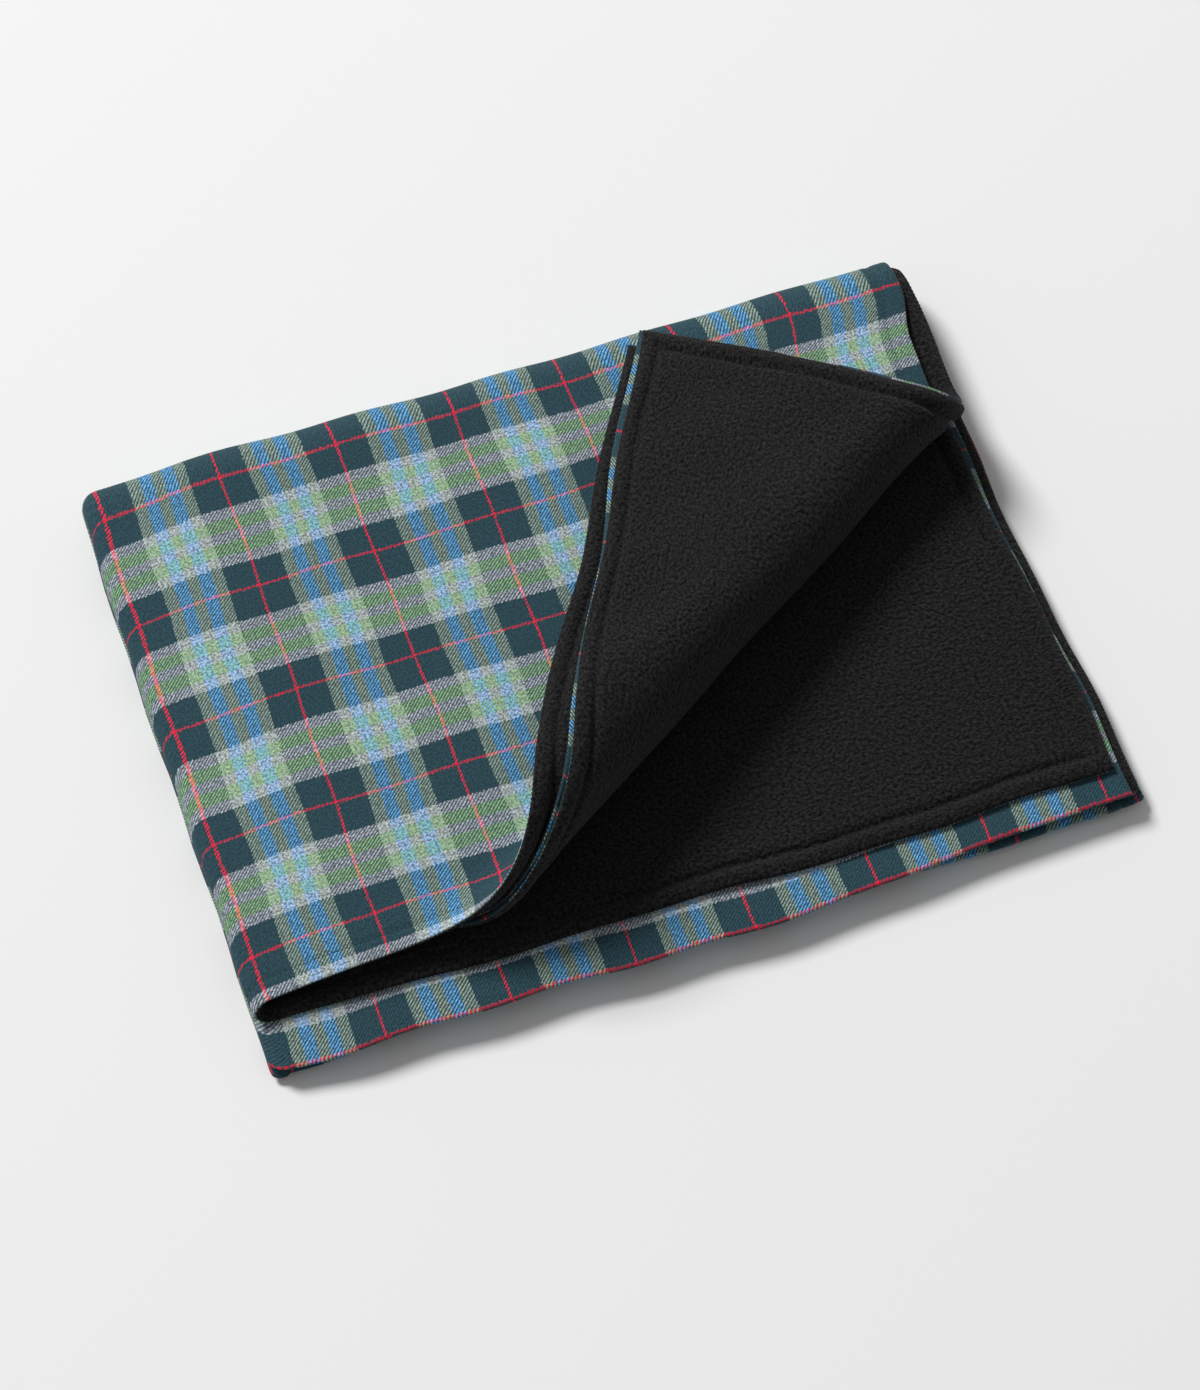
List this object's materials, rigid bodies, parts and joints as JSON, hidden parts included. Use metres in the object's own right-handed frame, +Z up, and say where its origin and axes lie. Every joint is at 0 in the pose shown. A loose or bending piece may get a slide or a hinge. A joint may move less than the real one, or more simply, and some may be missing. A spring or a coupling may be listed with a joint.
{
  "type": "camp blanket",
  "caption": "Folded camp blanket: plaid flannel face sewn to a black fleece lining, in a flat rectangular pack with one corner turned back over a soft roll.",
  "frame": {"origin": "centre of the folded pack's bounding box, on the surface that it lies on", "axes": "+Z up; +X from the side fold to the loose side hems; +Y from the front folds and hems to the back fold"},
  "size_m": [0.6426, 0.5004, 0.1178],
  "materials": {
    "plaid_flannel": "brushed, twill woven plaid in dark teal, green, grey and blue with red lines",
    "black_fleece": "short pebbled pile",
    "seam_thread": "matte",
    "needle_thread": "matte",
    "bobbin_thread": "matte"
  },
  "bodies": {
    "root": {"flannel_face": "plaid_flannel", "fleece_lining": "black_fleece", "seam_thread": "seam_thread", "topstitch_needle_thread": "needle_thread", "topstitch_bobbin_thread": "bobbin_thread"}
  },
  "joints": []
}
